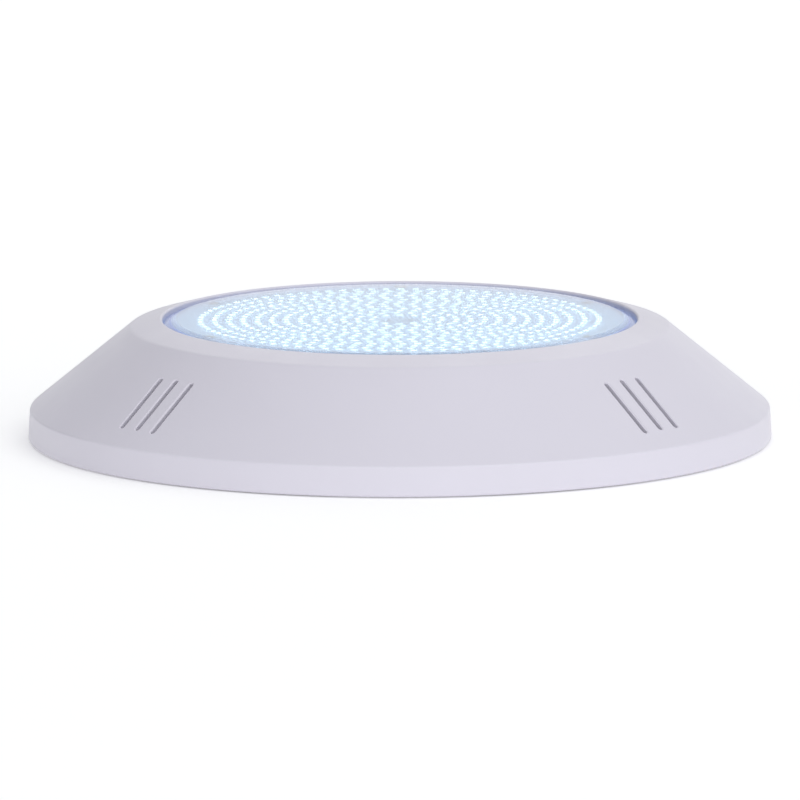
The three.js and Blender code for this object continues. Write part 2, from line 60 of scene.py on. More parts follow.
# ---- sizes that the frame's boxes don't give, in millimetres ----
SHELL = dict(
    wall=2.8,
    rim_radius=144.4,
    rim_height=12.1,
    shoulder_radius=105.1,
    shoulder_height=44.2,
    shoulder_fillet=5,
    lip_radius=92.6,
    height=47.6,
    underside=42.6,
)
SLOT = dict(inner=116, outer=137, width=2.2, pitch=8.8, chamfer=0.45)
SLOT_GROUPS = (42.5, 137.5, 222.5, 317.5)
SCREW_HOLE = 1.8  # radius of a clearance hole for an M3 screw
CLAMP_CIRCLE, BOARD_CIRCLE, RING_CIRCLE = 98, 84.6, 104.4  # radii that the screws sit on
CLAMP_ANGLES, BOARD_ANGLES, RING_ANGLES = (8, 22.5), (6, 30), (4, 0)  # count, first angle
LED = dict(pitch=5.55, first_ring=2, last_ring=14, length=3.5, width=2.8, height=0.8)
LENS = dict(radius=92.1, wall=2.8, thickness=2.4, bevel_width=4.7, bevel_drop=1.6)
BAYONET = dict(lug=15, tab=11, twist=28, tab_inner=133)


# ---- places ----
def millimetres(node):
    """The lowest and highest corners of a CAD node, in millimetres."""
    low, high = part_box(node)
    return low / MM, high / MM


def heights(node):
    low, high = millimetres(node)
    return low.z, high.z


def radius_of(node):
    return millimetres(node)[1].x


def centre_of(node):
    low, high = millimetres(node)
    return (low + high) / 2


def numbered(stem):
    """The CAD nodes stem_1, stem_2 and so on."""
    return sorted(name for name in frame["nodes"] if name.rsplit("_", 1)[0] == stem)


def spread(count, first=0.0):
    return [first + 360 / count * i for i in range(count)]


# ---- mesh building ----
def make_object(name, verts, faces):
    """An object from corners in millimetres."""
    mesh = bpy.data.meshes.new(name)
    mesh.from_pydata([Vector(v) * MM for v in verts], [], faces)
    mesh.validate()
    obj = bpy.data.objects.new(name, mesh)
    bpy.context.scene.collection.objects.link(obj)
    return obj


def rounded(profile, step=ARC_STEP):
    """Turns each (a, b, fillet) corner of a closed outline into an arc."""
    corners = [Vector(point[:2]) for point in profile]
    outline = []
    for i, point in enumerate(profile):
        corner = corners[i]
        if len(point) < 3:
            outline.append(corner)
            continue
        before = (corners[i - 1] - corner).normalized()
        after = (corners[(i + 1) % len(corners)] - corner).normalized()
        half = before.angle(after) / 2
        centre = corner + (before + after).normalized() * (point[2] / math.sin(half))
        first = corner + before * (point[2] / math.tan(half)) - centre
        last = corner + after * (point[2] / math.tan(half)) - centre
        start = math.atan2(first.y, first.x)
        sweep = (math.atan2(last.y, last.x) - start + math.pi) % (2 * math.pi) - math.pi
        count = max(2, math.ceil(abs(sweep) / step))
        for k in range(count + 1):
            angle = start + sweep * k / count
            outline.append(centre + Vector((math.cos(angle), math.sin(angle))) * point[2])
    return outline


def lathe(name, profile, segments=ROUND):
    """A solid of revolution about Z. The outline runs out along the bottom and back on top."""
    outline = rounded(profile)
    verts, rings, faces = [], [], []
    for radius, height in outline:
        start = len(verts)
        if radius < 1e-6:
            verts.append((0, 0, height))
            rings.append([start] * segments)
            continue
        for i in range(segments):
            angle = 2 * math.pi * i / segments
            verts.append((radius * math.cos(angle), radius * math.sin(angle), height))
        rings.append(list(range(start, start + segments)))
    if outline[0].x > 1e-6:
        rings.append(rings[0])
    for low, high in zip(rings, rings[1:]):
        for i in range(segments):
            j = (i + 1) % segments
            face = list(dict.fromkeys([low[i], low[j], high[j], high[i]]))
            if len(face) > 2:
                faces.append(face)
    return make_object(name, verts, faces)


def prism(name, outline, bottom, top, top_outline=None):
    """An upright prism, or a tapered one, from an anticlockwise outline."""
    count = len(outline)
    upper = top_outline or outline
    verts = [(x, y, bottom) for x, y in outline] + [(x, y, top) for x, y in upper]
    sides = [(i, (i + 1) % count, (i + 1) % count + count, i + count) for i in range(count)]
    ends = [list(range(count))[::-1], list(range(count, 2 * count))]
    return make_object(name, verts, [*ends, *sides])


def circle(radius, segments=SMALL, centre=(0, 0)):
    angles = [2 * math.pi * i / segments for i in range(segments)]
    return [(centre[0] + radius * math.cos(a), centre[1] + radius * math.sin(a)) for a in angles]


def stadium(length, width):
    """An outline with round ends, its length along X."""
    reach, radius, turns = (length - width) / 2, width / 2, 10
    right = [math.radians(-90 + 180 * i / turns) for i in range(turns + 1)]
    half = [(reach + radius * math.cos(a), radius * math.sin(a)) for a in right]
    return half + [(-x, -y) for x, y in half]


def sector(inner, outer, start, end):
    """The outline of a piece of a ring between two angles in degrees, in steps of a degree."""
    count = max(2, round(end - start))
    angles = [math.radians(start + (end - start) * i / count) for i in range(count + 1)]
    far = [(outer * math.cos(a), outer * math.sin(a)) for a in angles]
    near = [(inner * math.cos(a), inner * math.sin(a)) for a in reversed(angles)]
    return far + near


def rectangle(width, depth, corner=0.0, centre=(0, 0)):
    x, y = width / 2, depth / 2
    points = [(-x, -y), (x, -y), (x, y), (-x, y)]
    if corner:
        points = [tuple(p) for p in rounded([(*p, corner) for p in points], math.radians(22))]
    return [(px + centre[0], py + centre[1]) for px, py in points]


def transform(obj, matrix):
    """Moves a piece's own corners. The matrix is in millimetres."""
    obj.data.transform(Matrix.Scale(MM, 4) @ matrix @ Matrix.Scale(1 / MM, 4))
    return obj


def turned(obj, degrees):
    return transform(obj, Matrix.Rotation(math.radians(degrees), 4, "Z"))


def moved(obj, place):
    return transform(obj, Matrix.Translation(place))


def copy_of(obj):
    twin = bpy.data.objects.new(obj.name + "_copy", obj.data.copy())
    bpy.context.scene.collection.objects.link(twin)
    return twin


def ring_of(obj, radius, angles):
    """One joined piece holding a copy of obj at each angle, moved out to the radius."""
    out = Matrix.Translation((radius, 0, 0))
    copies = [turned(transform(copy_of(obj), out), angle) for angle in angles]
    bpy.data.objects.remove(obj)
    return joined(copies)


def joined(objects):
    """Several pieces as one, side by side, with no boolean."""
    first = objects[0]
    shape = bmesh.new()
    for obj in objects:
        shape.from_mesh(obj.data)
    shape.to_mesh(first.data)
    shape.free()
    for obj in objects[1:]:
        bpy.data.objects.remove(obj)
    return first


def boolean(obj, other, operation):
    """Cuts other out of obj, adds it, or keeps what they share. other is used up."""
    modifier = obj.modifiers.new("boolean", "BOOLEAN")
    modifier.operation = operation
    modifier.solver = "EXACT"
    modifier.object = other
    bpy.context.view_layer.update()
    depsgraph = bpy.context.evaluated_depsgraph_get()
    mesh = bpy.data.meshes.new_from_object(obj.evaluated_get(depsgraph))
    obj.modifiers.clear()
    obj.data = mesh
    bpy.data.objects.remove(other)
    return obj


def cut(obj, *cutters):
    for cutter in cutters:
        boolean(obj, cutter, "DIFFERENCE")
    return obj


def add(obj, *others):
    for other in others:
        boolean(obj, other, "UNION")
    return obj


def hole(radius, bottom, top, segments=24):
    return prism("hole", circle(radius, segments), bottom, top)


def shade(obj, degrees=32):
    """Smooth shading that stays crisp at edges sharper than this."""
    obj.data.shade_smooth()
    obj.data.set_sharp_from_angle(angle=math.radians(degrees))
    return obj


def soften(obj, width, segments=2):
    """Rounds the sharp edges a little, as moulded and machined edges are."""
    bevel = obj.modifiers.new("soft_edges", "BEVEL")
    bevel.width = width * MM
    bevel.segments = segments
    bevel.limit_method = "ANGLE"
    bevel.angle_limit = math.radians(40)
    bevel.harden_normals = True
    return obj


def finish(obj, node, material, body="lamp"):
    """Gives a piece its material, its body and the CAD node that it stands for."""
    obj.name = node + "_fine"
    obj.data.materials.clear()
    obj.data.materials.append(material)
    shade(obj)
    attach(obj, body)
    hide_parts(node)
    return obj


def detail(obj, name, material, body="lamp"):
    """A piece that the CAD counts as part of another."""
    obj.name = name
    obj.data.materials.clear()
    obj.data.materials.append(material)
    shade(obj)
    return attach(obj, body)


def slot_of(node):
    subparts = frame["record"]["subparts"]
    return next(part["material_slot"] for part in subparts if part["node"] == node)


# ---- materials ----
class Surface:
    """A Principled material with object coordinates in millimetres, for procedural detail."""

    def __init__(self, name, colour, roughness, **sockets):
        self.material = bpy.data.materials.new(name)
        self.material.use_nodes = True
        self.nodes = self.material.node_tree.nodes
        self.shader = self.nodes["Principled BSDF"]
        self.shader.inputs["Base Color"].default_value = (*colour, 1)
        self.shader.inputs["Roughness"].default_value = roughness
        for socket, value in sockets.items():
            self.shader.inputs[socket.replace("_", " ")].default_value = value
        self.colour = colour
        self.roughness = roughness
        place = self.nodes.new("ShaderNodeTexCoord")
        scale = self.nodes.new("ShaderNodeMapping")
        scale.inputs["Scale"].default_value = (1 / MM,) * 3
        self.link(place.outputs["Object"], scale.inputs["Vector"])
        self.place = scale.outputs["Vector"]

    def link(self, source, target):
        self.material.node_tree.links.new(source, target)

    def noise(self, size, detail_level=3.0, place=None):
        """Noise whose features are about this many millimetres across."""
        noise = self.nodes.new("ShaderNodeTexNoise")
        noise.inputs["Scale"].default_value = 1 / size
        noise.inputs["Detail"].default_value = detail_level
        self.link(place or self.place, noise.inputs["Vector"])
        return noise.outputs["Fac"]

    def stretched(self, scale):
        """The place, stretched along the axes, for grain that runs one way."""
        mapping = self.nodes.new("ShaderNodeMapping")
        mapping.inputs["Scale"].default_value = scale
        self.link(self.place, mapping.inputs["Vector"])
        return mapping.outputs["Vector"]

    def ranged(self, value, low, high):
        """A noise value spread over a range."""
        ranging = self.nodes.new("ShaderNodeMapRange")
        ranging.inputs["From Min"].default_value = 0.3
        ranging.inputs["From Max"].default_value = 0.7
        ranging.inputs["To Min"].default_value = low
        ranging.inputs["To Max"].default_value = high
        self.link(value, ranging.inputs["Value"])
        return ranging.outputs["Result"]

    def mottle(self, size, amount):
        """Makes the colour drift by this share from place to place."""
        mix = self.nodes.new("ShaderNodeMix")
        mix.data_type = "RGBA"
        for socket, share in (("A", 1 - amount), ("B", 1 + amount)):
            mix.inputs[socket].default_value = (*(min(1, c * share) for c in self.colour), 1)
        self.link(self.noise(size), mix.inputs["Factor"])
        self.link(mix.outputs["Result"], self.shader.inputs["Base Color"])
        return self

    def sheen_spots(self, size, amount):
        """Makes the roughness vary, as handling and moulding leave it."""
        varied = self.ranged(self.noise(size), self.roughness - amount, self.roughness + amount)
        self.link(varied, self.shader.inputs["Roughness"])
        return self

    def bump(self, height, depth, strength=1.0):
        """Bumps of this depth in millimetres from a height of 0 to 1."""
        bump = self.nodes.new("ShaderNodeBump")
        bump.inputs["Distance"].default_value = depth * MM
        bump.inputs["Strength"].default_value = strength
        self.link(height, bump.inputs["Height"])
        normal = self.shader.inputs["Normal"]
        if normal.is_linked:
            self.link(normal.links[0].from_socket, bump.inputs["Normal"])
        self.link(bump.outputs["Normal"], normal)
        return self


def moulded(name, colour, roughness, grain=0.35, depth=0.012, **sockets):
    """Moulded plastic: a fine even grain, slow waves from the mould, and a drift of colour."""
    surface = Surface(name, colour, roughness, **sockets)
    surface.mottle(38, 0.015).sheen_spots(14, 0.04)
    surface.bump(surface.noise(grain, 2), depth)
    surface.bump(surface.noise(30, 1), 0.05, 0.35)
    return surface.material


def turned_metal(name, colour, roughness, grain=0.12):
    """Machined metal: fine circular lines, and worn patches."""
    surface = Surface(name, colour, roughness, Metallic=1.0)
    surface.mottle(6, 0.06).sheen_spots(3, 0.07)
    surface.bump(surface.noise(grain, 2, surface.stretched((1, 1, 12))), 0.01)
    return surface.material


def rolled_metal(name, colour, roughness):
    """Sheet metal: long brushed lines along X."""
    surface = Surface(name, colour, roughness, Metallic=1.0)
    surface.mottle(20, 0.04).sheen_spots(5, 0.06)
    surface.bump(surface.noise(0.5, 3, surface.stretched((0.04, 1.6, 1))), 0.012)
    return surface.material


def rubber(name, colour):
    """Silicone and rubber: matt, with a powdery drift and soft dimples."""
    surface = Surface(name, colour, 0.75)
    surface.mottle(4, 0.08).sheen_spots(2, 0.08)
    surface.bump(surface.noise(0.3, 3), 0.02)
    return surface.material


WAVE_PERIOD = 0.314  # the length of one ring of a Wave texture at a scale of 1


def board_mask(name, colour, track_pitch, **sockets):
    """Solder mask with copper tracks that show as faint raised rings under it."""
    surface = Surface(name, colour, 0.32, **sockets)
    surface.mottle(25, 0.02).sheen_spots(8, 0.05)
    rings = surface.nodes.new("ShaderNodeTexWave")
    rings.wave_type = "RINGS"
    rings.rings_direction = "Z"
    rings.inputs["Scale"].default_value = WAVE_PERIOD / track_pitch
    surface.link(surface.place, rings.inputs["Vector"])
    surface.bump(rings.outputs["Fac"], 0.08, 0.5)
    surface.bump(surface.noise(0.6, 2), 0.008)
    return surface.material


def clear_lens(name, roughness, glow=(0, 0, 0), strength=0.0):
    """Polycarbonate, very slightly blue, with faint moulding waves, and an emission that paints the
    LEDs' light into it as a glow.
    """
    clear = dict(IOR=1.58, Transmission_Weight=1.0)
    painted_glow = dict(Emission_Color=(*glow, 1), Emission_Strength=strength)
    surface = Surface(name, (0.93, 0.97, 1.0), roughness, **clear, **painted_glow)
    surface.bump(surface.noise(22, 1), 0.03, 0.25)
    return surface.material


def glowing(name, colour, strength):
    """A phosphor that shines, brighter in the middle grains."""
    surface = Surface(name, colour, 0.6)
    surface.mottle(0.5, 0.06)
    surface.shader.inputs["Emission Color"].default_value = (*colour, 1)
    surface.shader.inputs["Emission Strength"].default_value = strength
    surface.bump(surface.noise(0.25, 2), 0.02)
    return surface.material


SATIN = dict(Coat_Weight=0.05, Coat_Roughness=0.3)
WHITE_SHELL = moulded("satin_white_abs", (0.673, 0.651, 0.727), 0.38, **SATIN)
BRACKET_PLASTIC = moulded("bracket_abs", (0.66, 0.67, 0.69), 0.5, 0.5, 0.03)
HOUSING_PLASTIC = moulded("housing_polycarbonate", (0.60, 0.615, 0.64), 0.46, 0.4, 0.02)
NYLON = moulded("black_nylon", (0.022, 0.023, 0.027), 0.48, 0.3, 0.03)
TERMINAL_NYLON = moulded("terminal_nylon", (0.78, 0.76, 0.68), 0.5)
CHIP = moulded("chip_epoxy", (0.012, 0.012, 0.014), 0.55, 0.1, 0.01)
# painted light: an emission on the LEDs' frames and on the board, standing for the LEDs' own light
# spilling onto them
LED_SPILL = dict(Emission_Color=(0.36, 0.69, 1.0, 1), Emission_Strength=0.52)
LED_FRAME = moulded("led_frame", (0.86, 0.93, 1.0), 0.4, 0.2, 0.01, **LED_SPILL)
SILICONE = rubber("grey_silicone", (0.22, 0.235, 0.26))
DARK_RUBBER = rubber("dark_rubber", (0.035, 0.036, 0.04))
STEEL = turned_metal("stainless_steel", (0.60, 0.60, 0.61), 0.28)
CLAMP_STEEL = rolled_metal("clamp_steel", (0.62, 0.62, 0.64), 0.3)
ALUMINIUM = rolled_metal("plate_aluminium", (0.72, 0.73, 0.74), 0.36)
TIN = turned_metal("tinned_lead", (0.72, 0.72, 0.70), 0.25)
COPPER = turned_metal("enamelled_copper", (0.72, 0.30, 0.12), 0.3)
# painted light: this white mask is tinted blue and carries the painted LED glow, both standing for
# the LEDs' light falling on it
BOARD_WHITE = board_mask("white_solder_mask", (0.60, 0.70, 0.97), LED["pitch"], **LED_SPILL)
BOARD_GREEN = board_mask("green_solder_mask", (0.012, 0.13, 0.045), 1.6)
LENS_CLEAR = clear_lens("clear_polycarbonate", 0.02)
# painted light: the frosted underside and the lens's edge glow faintly blue, a painted glow
# standing for the LEDs' light caught in the lens
LENS_FROSTED = clear_lens("frosted_polycarbonate", 0.3, (0.34, 0.62, 1.0), 0.02)
LENS_EDGE = clear_lens("painted_glow_edge_polycarbonate", 0.15, (0.16, 0.30, 1.0), 0.1)
PHOSPHOR = glowing("lit_phosphor", (0.62, 0.89, 0.98), 5.2)


def insulation(name, colour):
    return moulded(name, colour, 0.45, 0.8, 0.02)


LEADS = {
    "lead_brown": insulation("lead_brown", (0.12, 0.05, 0.02)),
    "lead_blue": insulation("lead_blue", (0.02, 0.10, 0.34)),
    "lead_red": insulation("lead_red", (0.45, 0.015, 0.012)),
    "lead_black": insulation("lead_black", (0.015, 0.015, 0.016)),
}


# ---- face ring ----
def cone_slope():
    rise = SHELL["shoulder_height"] - SHELL["rim_height"]
    return math.atan2(rise, SHELL["rim_radius"] - SHELL["shoulder_radius"])


def cone_height(radius):
    return SHELL["rim_height"] + (SHELL["rim_radius"] - radius) * math.tan(cone_slope())


def inside_cone(height):
    """Radius of the cone's inner wall at a height."""
    slope = cone_slope()
    outside = SHELL["rim_radius"] - (height - SHELL["rim_height"]) / math.tan(slope)
    return outside - SHELL["wall"] / math.sin(slope)


def slot_cutters(outline, top_outline, depth, rise):
    """Twelve cutters that stand square to the cone, three side by side in each of four groups."""
    slope = cone_slope()
    middle = (SLOT["inner"] + SLOT["outer"]) / 2
    cutters = []
    for angle in SLOT_GROUPS:
        for offset in (-SLOT["pitch"], 0, SLOT["pitch"]):
            cutter = prism("slot", outline, -depth, rise, top_outline)
            transform(cutter, Matrix.Rotation(slope, 4, "Y"))
            moved(cutter, (middle, offset, cone_height(math.hypot(middle, offset))))
            cutters.append(turned(cutter, angle))
    return joined(cutters)


def true_cone_normals(obj):
    """Shades the outer cone as one smooth surface right up to the edges of the slots."""
    slope = cone_slope()
    mesh = obj.data
    normals = [Vector((0, 0, 0))] * len(mesh.loops)
    for face in mesh.polygons:
        radius, height = math.hypot(*face.center[:2]) / MM, face.center.z / MM
        if abs(height - cone_height(radius)) > 0.05:
            continue
        for loop in face.loop_indices:
            x, y, _ = mesh.vertices[mesh.loops[loop].vertex_index].co
            around = Vector((x, y)).normalized() * math.sin(slope)
            normals[loop] = Vector((*around, math.cos(slope)))
    mesh.normals_split_custom_set(normals)


def face_ring():
    outer, wall, foot = radius_of("face_ring"), SHELL["wall"], heights("face_ring")[0]
    skirt = SHELL["rim_radius"] - wall
    skirt_top = next(z / 10 for z in range(400) if inside_cone(z / 10) <= skirt)
    shell = lathe(
        "shell",
        [
            (outer - wall, foot, 0.4),
            (outer, foot, 0.9),
            (SHELL["rim_radius"], SHELL["rim_height"], 1.8),
            (SHELL["shoulder_radius"], SHELL["shoulder_height"], SHELL["shoulder_fillet"]),
            (SHELL["lip_radius"], SHELL["height"], 0.9),
            (SHELL["lip_radius"], SHELL["underside"], 0.3),
            (inside_cone(SHELL["underside"]), SHELL["underside"], 0.8),
            (skirt, skirt_top, 1.5),
        ],
    )
    tab_low, tab_high = 2.6, 5.6
    tab_outline = sector(BAYONET["tab_inner"], outer - wall / 2, -BAYONET["tab"], BAYONET["tab"])
    tab = prism("tab", tab_outline, tab_low, tab_high)
    low, high, boss_radius = heights("lens")[0], SHELL["underside"] - 0.6, 3.2
    boss = prism("boss", circle(boss_radius, 32), low, high)
    add(shell, ring_of(tab, 0, spread(4)), ring_of(boss, RING_CIRCLE, spread(*RING_ANGLES)))
    cut(shell, ring_of(hole(SCREW_HOLE, low - 1, high - 0.4), RING_CIRCLE, spread(*RING_ANGLES)))

    length = (SLOT["outer"] - SLOT["inner"]) / math.cos(cone_slope())
    width, edge = SLOT["width"], SLOT["chamfer"]
    narrow = stadium(length, width)
    wide = stadium(length + 4 * edge, width + 4 * edge)
    depth, clear = 7, 2
    cut(shell, slot_cutters(narrow, wide, edge, edge), slot_cutters(narrow, narrow, depth, clear))
    finish(shell, "face_ring", WHITE_SHELL)
    true_cone_normals(shell)


# ---- lens and seal ----
def lens():
    low, high = heights("lens")
    outer, flange = radius_of("lens"), low + 2.5
    disc, inner, under = LENS["radius"], LENS["radius"] - LENS["wall"], high - LENS["thickness"]
    cup = lathe(
        "cup",
        [
            (0, under),
            (inner, under, 0.8),
            (inner, low, 0.3),
            (outer, low, 0.3),
            (outer, flange, 0.3),
            (disc, flange, 0.5),
            (disc, high - LENS["bevel_drop"], 0.4),
            (disc - LENS["bevel_width"], high, 1.5),
            (0, high),
        ],
    )
    cut(cup, ring_of(hole(SCREW_HOLE, low - 1, flange + 1), CLAMP_CIRCLE, spread(*CLAMP_ANGLES)))
    finish(cup, "lens", LENS_CLEAR)
    for material in (LENS_FROSTED, LENS_EDGE):
        cup.data.materials.append(material)
    # the underside takes the frosted material and the bevel the edge material, both with a painted
    # glow
    for face in cup.data.polygons:
        radius, height = math.hypot(*face.center[:2]) / MM, face.center.z / MM
        if face.normal.z < -0.9 and abs(height - under) < 0.05:
            face.material_index = 1
        elif radius > disc - LENS["bevel_width"] and height > flange:
            face.material_index = 2


def lens_gasket():
    low, high = heights("lens_gasket")
    outer = radius_of("lens_gasket")
    inner, middle = outer - 2.3, outer - 1.15
    shoulder = high - 0.3
    base = [(inner, low, 0.3), (outer, low, 0.3), (outer, shoulder, 0.3)]
    bead = [(middle + 0.5, shoulder, 0.2), (middle + 0.3, high, 0.15)]
    bead += [(middle - 0.3, high, 0.15), (middle - 0.5, shoulder, 0.2)]
    gasket = lathe("gasket", [*base, *bead, (inner, shoulder, 0.3)])
    finish(gasket, "lens_gasket", SILICONE)


def clamp_ring():
    low, high = heights("clamp_ring")
    outer = radius_of("clamp_ring")
    inner = SHELL["lip_radius"]
    section = [(inner, low, 0.2), (outer, low, 0.2), (outer, high, 0.4), (inner, high, 0.4)]
    band = lathe("band", section)
    cut(band, ring_of(hole(SCREW_HOLE, low - 1, high + 1), CLAMP_CIRCLE, spread(*CLAMP_ANGLES)))
    finish(band, "clamp_ring", CLAMP_STEEL)


# ---- light source ----
def led_board():
    low, high = heights("led_board")
    outer, lead_hole, lead_place = radius_of("led_board"), 1.2, 4
    board = lathe("board", [(0, low), (outer, low, 0.15), (outer, high, 0.15), (0, high)])
    screw_holes = ring_of(hole(SCREW_HOLE, low - 1, high + 1), BOARD_CIRCLE, spread(*BOARD_ANGLES))
    lead_holes = ring_of(hole(lead_hole, low - 1, high + 1), lead_place, (0, 180))
    cut(board, screw_holes, lead_holes)
    finish(board, "led_board", BOARD_WHITE)


def led_places():
    """Place and turn of each LED: rings of six, twelve and so on, with the first ring left out."""
    for ring in range(LED["first_ring"], LED["last_ring"] + 1):
        out = Matrix.Translation((ring * LED["pitch"], 0, 0))
        for angle in spread(6 * ring, 15 * (ring % 2)):
            yield Matrix.Rotation(math.radians(angle), 4, "Z") @ out


def led_packages():
    """All the LED packages: a frame with a round-cornered well, two contacts and lit phosphor."""
    top = LED["height"]
    body = rectangle(LED["width"], LED["length"], 0.12)
    well = rectangle(LED["width"] - 0.7, LED["length"] - 0.8, 0.5)
    well_floor = rectangle(LED["width"] - 1.1, LED["length"] - 1.2, 0.4)
    frames, lights, contacts = [], [], []
    frame_piece = prism("frame", body, 0, top)
    cut(frame_piece, prism("well", well_floor, top - 0.3, top + 0.1, well))
    light = prism("light", well_floor, top - 0.3, top - 0.12)
    middles = [(0, side * LED["length"] / 2) for side in (-1, 1)]
    contact = joined([prism("end", rectangle(1.6, 0.5, 0, middle), 0, 0.28) for middle in middles])
    base = heights("led_board")[1]
    for place in led_places():
        lifted = Matrix.Translation((0, 0, base)) @ place
        frames.append(transform(copy_of(frame_piece), lifted))
        lights.append(transform(copy_of(light), lifted))
        contacts.append(transform(copy_of(contact), lifted))
    for used in (frame_piece, light, contact):
        bpy.data.objects.remove(used)
    detail(joined(frames), "led_frames", LED_FRAME)
    detail(joined(lights), "led_phosphors", PHOSPHOR)
    detail(joined(contacts), "led_contacts", TIN)


def heat_sink_plate():
    low, high = heights("heat_sink_plate")
    outer, inner = radius_of("heat_sink_plate"), 8
    section = [(inner, low, 0.2), (outer, low, 0.2), (outer, high, 0.2), (inner, high, 0.2)]
    plate = lathe("plate", section)
    cut(plate, ring_of(hole(SCREW_HOLE, low - 1, high + 1), BOARD_CIRCLE, spread(*BOARD_ANGLES)))
    finish(plate, "heat_sink_plate", ALUMINIUM)


# ---- screws ----
def thread(radius, depth, pitch, bottom, top, segments=24):
    """A rod with a helical thread, closed at both ends."""
    rows = max(2, round((top - bottom) / pitch * 6))
    verts, faces = [], []
    for row in range(rows + 1):
        height = bottom + (top - bottom) * row / rows
        for i in range(segments):
            turn = i / segments
            phase = abs(((height / pitch - turn) % 1) * 2 - 1)
            reach = radius - depth * phase
            angle = 2 * math.pi * turn
            verts.append((reach * math.cos(angle), reach * math.sin(angle), height))
    for row in range(rows):
        for i in range(segments):
            j = (i + 1) % segments
            a, b = row * segments, (row + 1) * segments
            faces.append((a + i, a + j, b + j, b + i))
    faces.append(list(range(segments))[::-1])
    faces.append(list(range(rows * segments, (rows + 1) * segments)))
    return make_object("thread", verts, faces)


def pan_head_screw(head, head_height, shank, length):
    """A cross-recess pan head with its underside at z = 0 and the thread along +Z."""
    top = -head_height
    dome = [(0, top), (head * 0.55, top, head * 0.5), (head, top * 0.55, head * 0.4)]
    screw = lathe("screw", [*dome, (head, 0, 0.15), (0, 0)], SMALL)
    arm = rectangle(head * 1.05, head * 0.24)
    tip = rectangle(head * 0.35, head * 0.2)
    arms = [prism("arm", arm, top - 0.1, -head_height * 0.35, tip) for _ in range(2)]
    cut(screw, add(arms[0], turned(arms[1], 90)))
    rod = thread(shank, shank * 0.18, shank * 0.55, -0.2, length - shank * 0.8)
    root = length - shank
    point = lathe("point", [(0, root), (shank * 0.8, root), (shank * 0.3, length), (0, length)], 24)
    return add(screw, add(rod, point))


SCREWS = {  # head height, shank radius
    "terminal_screw": (1.4, 1.2),
    "driver_screw": (1.5, 1.2),
    "board_screw": (0.8, 1.5),
    "clamp_screw": (1.7, 1.5),
    "ring_screw": (1.7, 1.5),
}


def screws(stem, flipped=False):
    """One detailed screw for each numbered CAD screw, all sharing a mesh."""
    nodes = numbered(stem)
    low, high = millimetres(nodes[0])
    size = high - low
    head = size.x / 2
    head_height, shank = SCREWS[stem]
    pattern = pan_head_screw(head, head_height, shank, size.z - head_height)
    for node in nodes:
        low, high = millimetres(node)
        centre = (low + high) / 2
        seat = high.z - head_height if flipped else low.z + head_height
        piece = bpy.data.objects.new(node + "_fine", pattern.data)
        bpy.context.scene.collection.objects.link(piece)
        flip = math.pi if flipped else 0.0
        spin = math.radians(37 * len(node) + 53 * int(node.rsplit("_", 1)[1]))
        turn = Matrix.Rotation(flip, 4, "X") @ Matrix.Rotation(spin, 4, "Z")
        piece.matrix_world = Matrix.Translation(Vector((centre.x, centre.y, seat)) * MM) @ turn
        finish(piece, node, STEEL)
    bpy.data.objects.remove(pattern)


# ---- housing ----
def lamp_housing():
    low, high = heights("lamp_housing")
    floor, flange_low, wall, flange = low + 2.5, 33.5, 90.5, 101.5
    groove = heights("lens_gasket")[0] - 0.3
    groove_out, groove_in = radius_of("lens_gasket") + 0.3, radius_of("lens_gasket") - 2.6
    board_boss, driver_post, lug_end, pilot, gland_hole = 3.6, 3, 3.6, 1.5, 8.1
    cup = lathe(
        "cup",
        [
            (0, low),
            (wall, low, 2.5),
            (wall, flange_low, 1.2),
            (flange, flange_low, 0.4),
            (flange, high, 0.3),
            (groove_out, high, 0.15),
            (groove_out, groove, 0.2),
            (groove_in, groove, 0.2),
            (groove_in, high, 0.15),
            (wall - 2.5, high, 0.3),
            (wall - 2.5, floor, 1.5),
            (0, floor),
        ],
    )
    lug = add(
        prism("lug", circle(lug_end, 32, (RING_CIRCLE, 0)), flange_low, high),
        prism("arm", rectangle(8, 2 * lug_end, 0, (RING_CIRCLE - 4, 0)), flange_low, high),
    )
    boss_top = heights("heat_sink_plate")[0] - 0.3
    boss = prism("boss", circle(board_boss, 32), floor - 1, boss_top)
    lugs = ring_of(lug, 0, spread(*RING_ANGLES))
    add(cup, lugs, ring_of(boss, BOARD_CIRCLE, spread(*BOARD_ANGLES)))
    corners = [(c.x, c.y, 0) for c in map(centre_of, numbered("driver_screw"))]
    post_top = heights("driver_board")[0] - 0.3
    posts = [prism("post", circle(driver_post, 32), floor - 1, post_top) for _ in corners]
    add(cup, joined([moved(post, corner) for post, corner in zip(posts, corners)]))
    through = (SCREW_HOLE, flange_low - 1, high + 1)
    flange_holes = ring_of(hole(*through), CLAMP_CIRCLE, spread(*CLAMP_ANGLES))
    lug_holes = ring_of(hole(*through), RING_CIRCLE, spread(*RING_ANGLES))
    blind = hole(SCREW_HOLE, boss_top - 5, boss_top + 1)
    boss_holes = ring_of(blind, BOARD_CIRCLE, spread(*BOARD_ANGLES))
    post_holes = joined([moved(hole(pilot, low + 1, floor + 3), corner) for corner in corners])
    gland_way = hole(gland_hole, low - 1, floor + 1, SMALL)
    cut(cup, flange_holes, lug_holes, boss_holes, post_holes, gland_way)
    finish(cup, "lamp_housing", HOUSING_PLASTIC)


